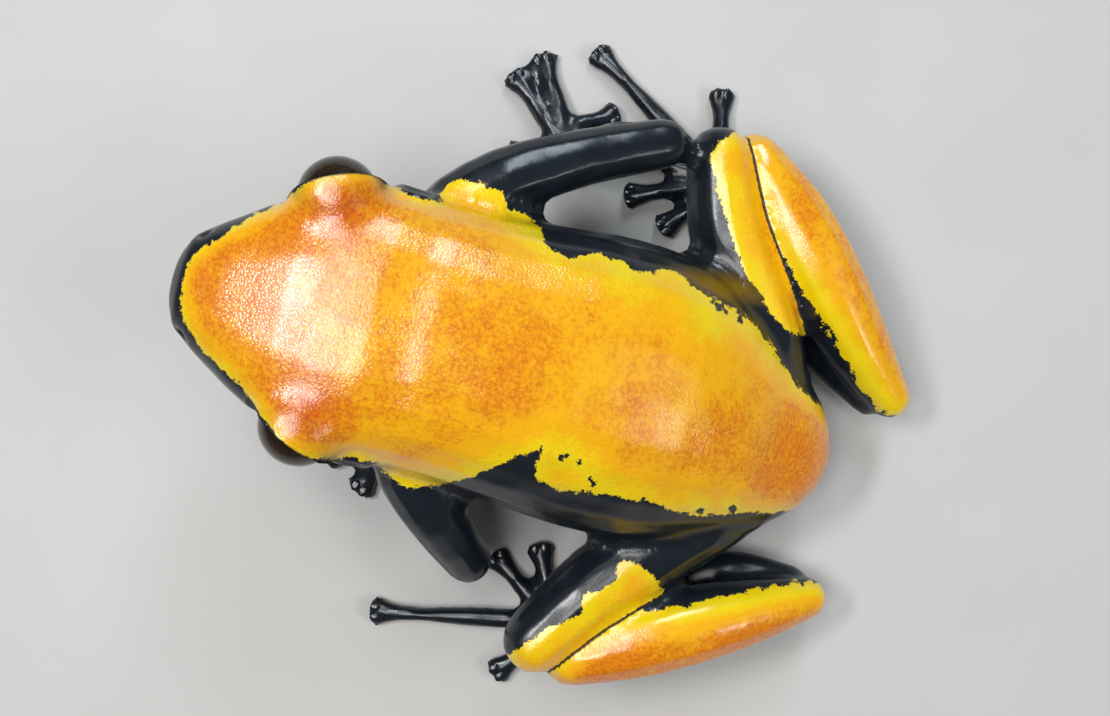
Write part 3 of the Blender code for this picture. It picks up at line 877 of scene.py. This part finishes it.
def make_eye(side):
    centre, radius = eye_centre[side], eye_radius[side] * EYE_SWELL
    mesh = bpy.data.meshes.new(f"eyeball_{side}")
    shape = bmesh.new()
    bmesh.ops.create_icosphere(shape, subdivisions=5, radius=radius)
    shape.to_mesh(mesh)
    shape.free()
    mesh.transform(Matrix.Translation(centre))
    mesh.materials.append(eye_material(side, centre / MM, radius / MM))
    mesh.shade_smooth()
    return add_object(f"eyeball_{side}", mesh)


eyes = {side: make_eye(side) for side in SIDES}
print("faces of each eye:", [len(ball.data.polygons) for ball in eyes.values()])

# %% [markdown]
# ## Pads on the discs
#
# On top of each disc the real frog has a pair of small scutes, which mark its family. A
# modeller would press 36 beads of clay. Here one small dome is copied to both sides of
# every disc and turned along its digit, so one rule dresses all 18 digits.

# %% Rule for the pads
PAD_APART = 0.27
PAD_SIZE = (0.34, 0.24, 0.06)
PAD_SEED = 4
SMALLEST_PAD, LARGEST_PAD = 0.88, 1.12  # shares of the size


def pad_tree():
    """Two domes for each point, to the left and the right of its heading."""
    tree = bpy.data.node_groups.new("pads of a disc", "GeometryNodeTree")
    for name, kind in (
        ("Discs", "NodeSocketGeometry"),
        ("Apart", "NodeSocketFloat"),
        ("Size", "NodeSocketVector"),
        ("Seed", "NodeSocketInt"),
        ("Material", "NodeSocketMaterial"),
    ):
        tree.interface.new_socket(name, in_out="INPUT", socket_type=kind)
    tree.interface.new_socket("Pads", in_out="OUTPUT", socket_type="NodeSocketGeometry")
    given = tree.nodes.new("NodeGroupInput").outputs
    result = tree.nodes.new("NodeGroupOutput")

    def add(kind, settings, values, output=0):
        made = tree.nodes.new(kind)
        for name, setting in settings.items():
            setattr(made, name, setting)
        for name, value in values.items():
            if isinstance(value, bpy.types.NodeSocket):
                tree.links.new(value, made.inputs[name])
            else:
                made.inputs[name].default_value = value
        return made.outputs[output]

    heading = add("GeometryNodeInputNamedAttribute", {"data_type": "FLOAT"}, {"Name": "heading"})
    turn = add("ShaderNodeCombineXYZ", {}, {"Z": heading})
    limits = {2: SMALLEST_PAD, 3: LARGEST_PAD, "Seed": given["Seed"]}
    share = add("FunctionNodeRandomValue", {"data_type": "FLOAT"}, limits, 1)
    scaled = {0: given["Size"], "Scale": share}
    size = add("ShaderNodeVectorMath", {"operation": "SCALE"}, scaled)
    dome = add("GeometryNodeMeshIcoSphere", {}, {"Radius": 1.0, "Subdivisions": 3})
    join = tree.nodes.new("GeometryNodeJoinGeometry")
    for side in (1, -1):
        away = add("ShaderNodeMath", {"operation": "MULTIPLY"}, {0: given["Apart"], 1: side})
        across = add("ShaderNodeCombineXYZ", {}, {"Y": away})
        spin = {"Vector": across, "Angle": heading}
        turned = add("ShaderNodeVectorRotate", {"rotation_type": "Z_AXIS"}, spin)
        values = {"Geometry": given["Discs"], "Offset": turned}
        moved = add("GeometryNodeSetPosition", {}, values)
        values = {"Points": moved, "Instance": dome, "Rotation": turn, "Scale": size}
        tree.links.new(add("GeometryNodeInstanceOnPoints", {}, values), join.inputs[0])
    real = add("GeometryNodeRealizeInstances", {}, {"Geometry": join.outputs[0]})
    values = {"Geometry": real, "Material": given["Material"]}
    tree.links.new(add("GeometryNodeSetMaterial", {}, values), result.inputs[0])
    return tree


# %% [markdown]
# ## Growing the pads
#
# Each pair needs one point on top of its disc, found by looking down onto the skin, and the
# way in which its digit runs. The rule then makes a plain mesh that any other tool can read.

# %% Pads
DIGIT_TIPS = {  # x, y where the digit starts, then x, y of its disc
    "hand_right": (
        (-11.94, -3.41, -10.84, -5.61), (-12.44, -3.51, -15.14, -6.61),
        (-13.04, -3.31, -16.44, -5.41), (-13.24, -2.61, -14.34, -0.71),
    ),
    "hand_left": (
        (6.46, -8.61, 4.86, -9.81), (6.96, -9.01, 6.06, -11.51),
        (7.56, -9.01, 8.16, -11.31), (8.06, -8.61, 9.56, -9.31),
    ),
    "foot_right": (
        (-11.24, 5.59, -9.04, 3.59), (-11.74, 4.89, -10.24, 1.29),
        (-12.34, 4.59, -12.64, 0.79), (-12.84, 4.99, -17.54, -2.41),
        (-13.24, 5.69, -17.04, 4.89),
    ),
    "foot_left": (
        (12.46, 3.49, 10.36, 3.89), (12.86, 2.59, 10.36, 1.39), (13.56, 2.29, 11.46, -0.81),
        (14.16, 2.59, 16.11, -6.71), (14.56, 3.19, 17.66, 0.79),
    ),
}
ABOVE_DISCS = 1.6  # the height from which the look down starts


def pad_points():
    """One point on top of each disc, and the way its digit runs."""
    finder = skin_finder()
    spots, headings = [], []
    for ends in (ends for digits in DIGIT_TIPS.values() for ends in digits):
        base, tip = Vector(ends[:2]), Vector(ends[2:])
        hit = finder.ray_cast(Vector((tip.x, tip.y, ABOVE_DISCS)), Vector((0, 0, -1)))[0]
        if hit is None:
            continue
        spots.append(tuple(hit))
        headings.append(math.atan2(tip.y - base.y, tip.x - base.x))
    return np.array(spots), headings


def pad_material():
    paint = Paint("disc pads")
    place = paint.place()
    # Black with a painted blue sheen in patches
    tone = paint.noise(place, 0.5, 2.0)
    return paint.finish(
        {
            "Base Color": paint.mix(tone + 0.5, BLACK, PAINTED_SHEEN_BLUE),
            "Roughness": 0.16 + tone * 0.1,
            "Normal": paint.bump(paint.cells(place, 0.15), -0.006),
        }
    )


def make_pads():
    spots, headings = pad_points()
    pads = mesh_from("disc_pads", spots * MM, [])
    layer = pads.data.attributes.new("heading", "FLOAT", "POINT")
    layer.data.foreach_set("value", headings)
    tree = pad_tree()
    grow = pads.modifiers.new("pads", "NODES")
    grow.node_group = tree
    identifiers = {socket.name: socket.identifier for socket in tree.interface.items_tree}
    grow[identifiers["Apart"]] = PAD_APART * MM
    grow[identifiers["Size"]] = [length * MM for length in PAD_SIZE]
    grow[identifiers["Seed"]] = PAD_SEED
    grow[identifiers["Material"]] = pad_material()
    pads.update_tag()
    apply_modifiers(pads)
    pads.data.shade_smooth()
    print("discs with pads:", len(spots), "pad faces:", len(pads.data.polygons))
    return pads


pads = make_pads()

# %% [markdown]
# ## Floor
#
# The frog sits on a plain pale floor, like a sheet of matte card in a photographer's studio.
# Its tone drifts a little, because an even grey would look unlit.

# %% Floor
FLOOR_REACH = 1500  # from the middle to each side
FLOOR_TONES = (0.45, 0.44, 0.425, 1), (0.50, 0.49, 0.475, 1)


def floor_material():
    paint = Paint("floor")
    tone = paint.noise(paint.place(), 9.0, 4.0)
    return paint.finish({"Base Color": paint.mix(tone + 0.5, *FLOOR_TONES), "Roughness": 0.6})


floor_mesh = bpy.data.meshes.new("floor")
shape = bmesh.new()
bmesh.ops.create_grid(shape, x_segments=1, y_segments=1, size=FLOOR_REACH * MM)
shape.to_mesh(floor_mesh)
shape.free()
floor_mesh.materials.append(floor_material())
floor = add_object("floor", floor_mesh)
print("floor, mm:", np.round(np.array(floor.dimensions) / MM))

# %% [markdown]
# ## Light
#
# Wet skin is a mirror, so each highlight of the photograph tells where a lamp stood. The
# front lamp makes the arc on the forehead, and the two windows make the patches on the head
# and neck with a dark wedge between them. The rear lamp only lights the paint.

# %% Light


def soft_light(name, place, target, width, depth, power, colour=(1, 1, 1), mirrored=True):
    """A lamp that faces its target. One that isn't mirrored shows in no highlight."""
    lamp = bpy.data.lights.new(name, "AREA")
    lamp.shape = "ELLIPSE"
    lamp.size, lamp.size_y = width * MM, depth * MM
    lamp.energy = power
    lamp.color = colour
    made = add_object(name, lamp)
    made.location = Vector(place) * MM
    made.visible_glossy = mirrored
    backwards = Vector(place) - Vector(target)
    made.rotation_euler = backwards.to_track_quat("Z", "Y").to_euler()


soft_light("front", (-6, -106, 166), (0, -8, 10), 66, 28, 0.15)
soft_light("window, right", (-52, -42, 182), (0, 0, 8), 44, 76, 0.075)
soft_light("window, left", (34, -42, 182), (0, 0, 8), 74, 76, 0.13)
soft_light("rear", (-10, 160, 150), (0, 8, 6), 150, 70, 0.15, mirrored=False)
soft_light("back", (35, 150, 115), (0, 5, 8), 24, 14, 0.02)
soft_light("side", (-170, 0, 140), (0, 0, 6), 50, 120, 0.17, (0.78, 0.91, 1.0))

world = bpy.data.worlds.new("studio")
world.use_nodes = True
background = world.node_tree.nodes["Background"].inputs
background["Color"].default_value = (0.88, 0.88, 0.9, 1)
background["Strength"].default_value = 0.12
bpy.context.scene.world = world
bpy.context.scene.view_settings.view_transform = "Standard"
print("lamps:", len(bpy.data.lights))

# %% [markdown]
# ## Camera
#
# The camera has the photograph's place and framing. It looks straight down, and it is
# turned so that the frog's head points to the left and a little up in the picture.

# %% Camera
lens = bpy.data.cameras.new("camera")
lens.sensor_width = 36.0
focal_pixels = PIXELS_PER_MM * (EYE_POINT.z - MARKING_HEIGHT)
lens.lens = lens.sensor_width * focal_pixels / IMAGE_WIDTH
lens.clip_start = 0.001
camera = add_object("camera", lens)
right = Vector((-math.sin(TURN_IN_IMAGE), math.cos(TURN_IN_IMAGE), 0))
up = Vector((-math.cos(TURN_IN_IMAGE), -math.sin(TURN_IN_IMAGE), 0))
turned = Matrix((right, up, (0, 0, 1))).transposed().to_4x4()
camera.matrix_world = Matrix.Translation(EYE_POINT * MM) @ turned
bpy.context.scene.camera = camera
print("lens, mm:", round(lens.lens, 2))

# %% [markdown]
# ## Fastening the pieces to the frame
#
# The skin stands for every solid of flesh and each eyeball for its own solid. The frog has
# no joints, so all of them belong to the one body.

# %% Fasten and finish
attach(skin, "root")
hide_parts(*flesh_names)
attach(pads, "root")
for side, ball in eyes.items():
    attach(ball, "root")
    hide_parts(f"eye_{side}")
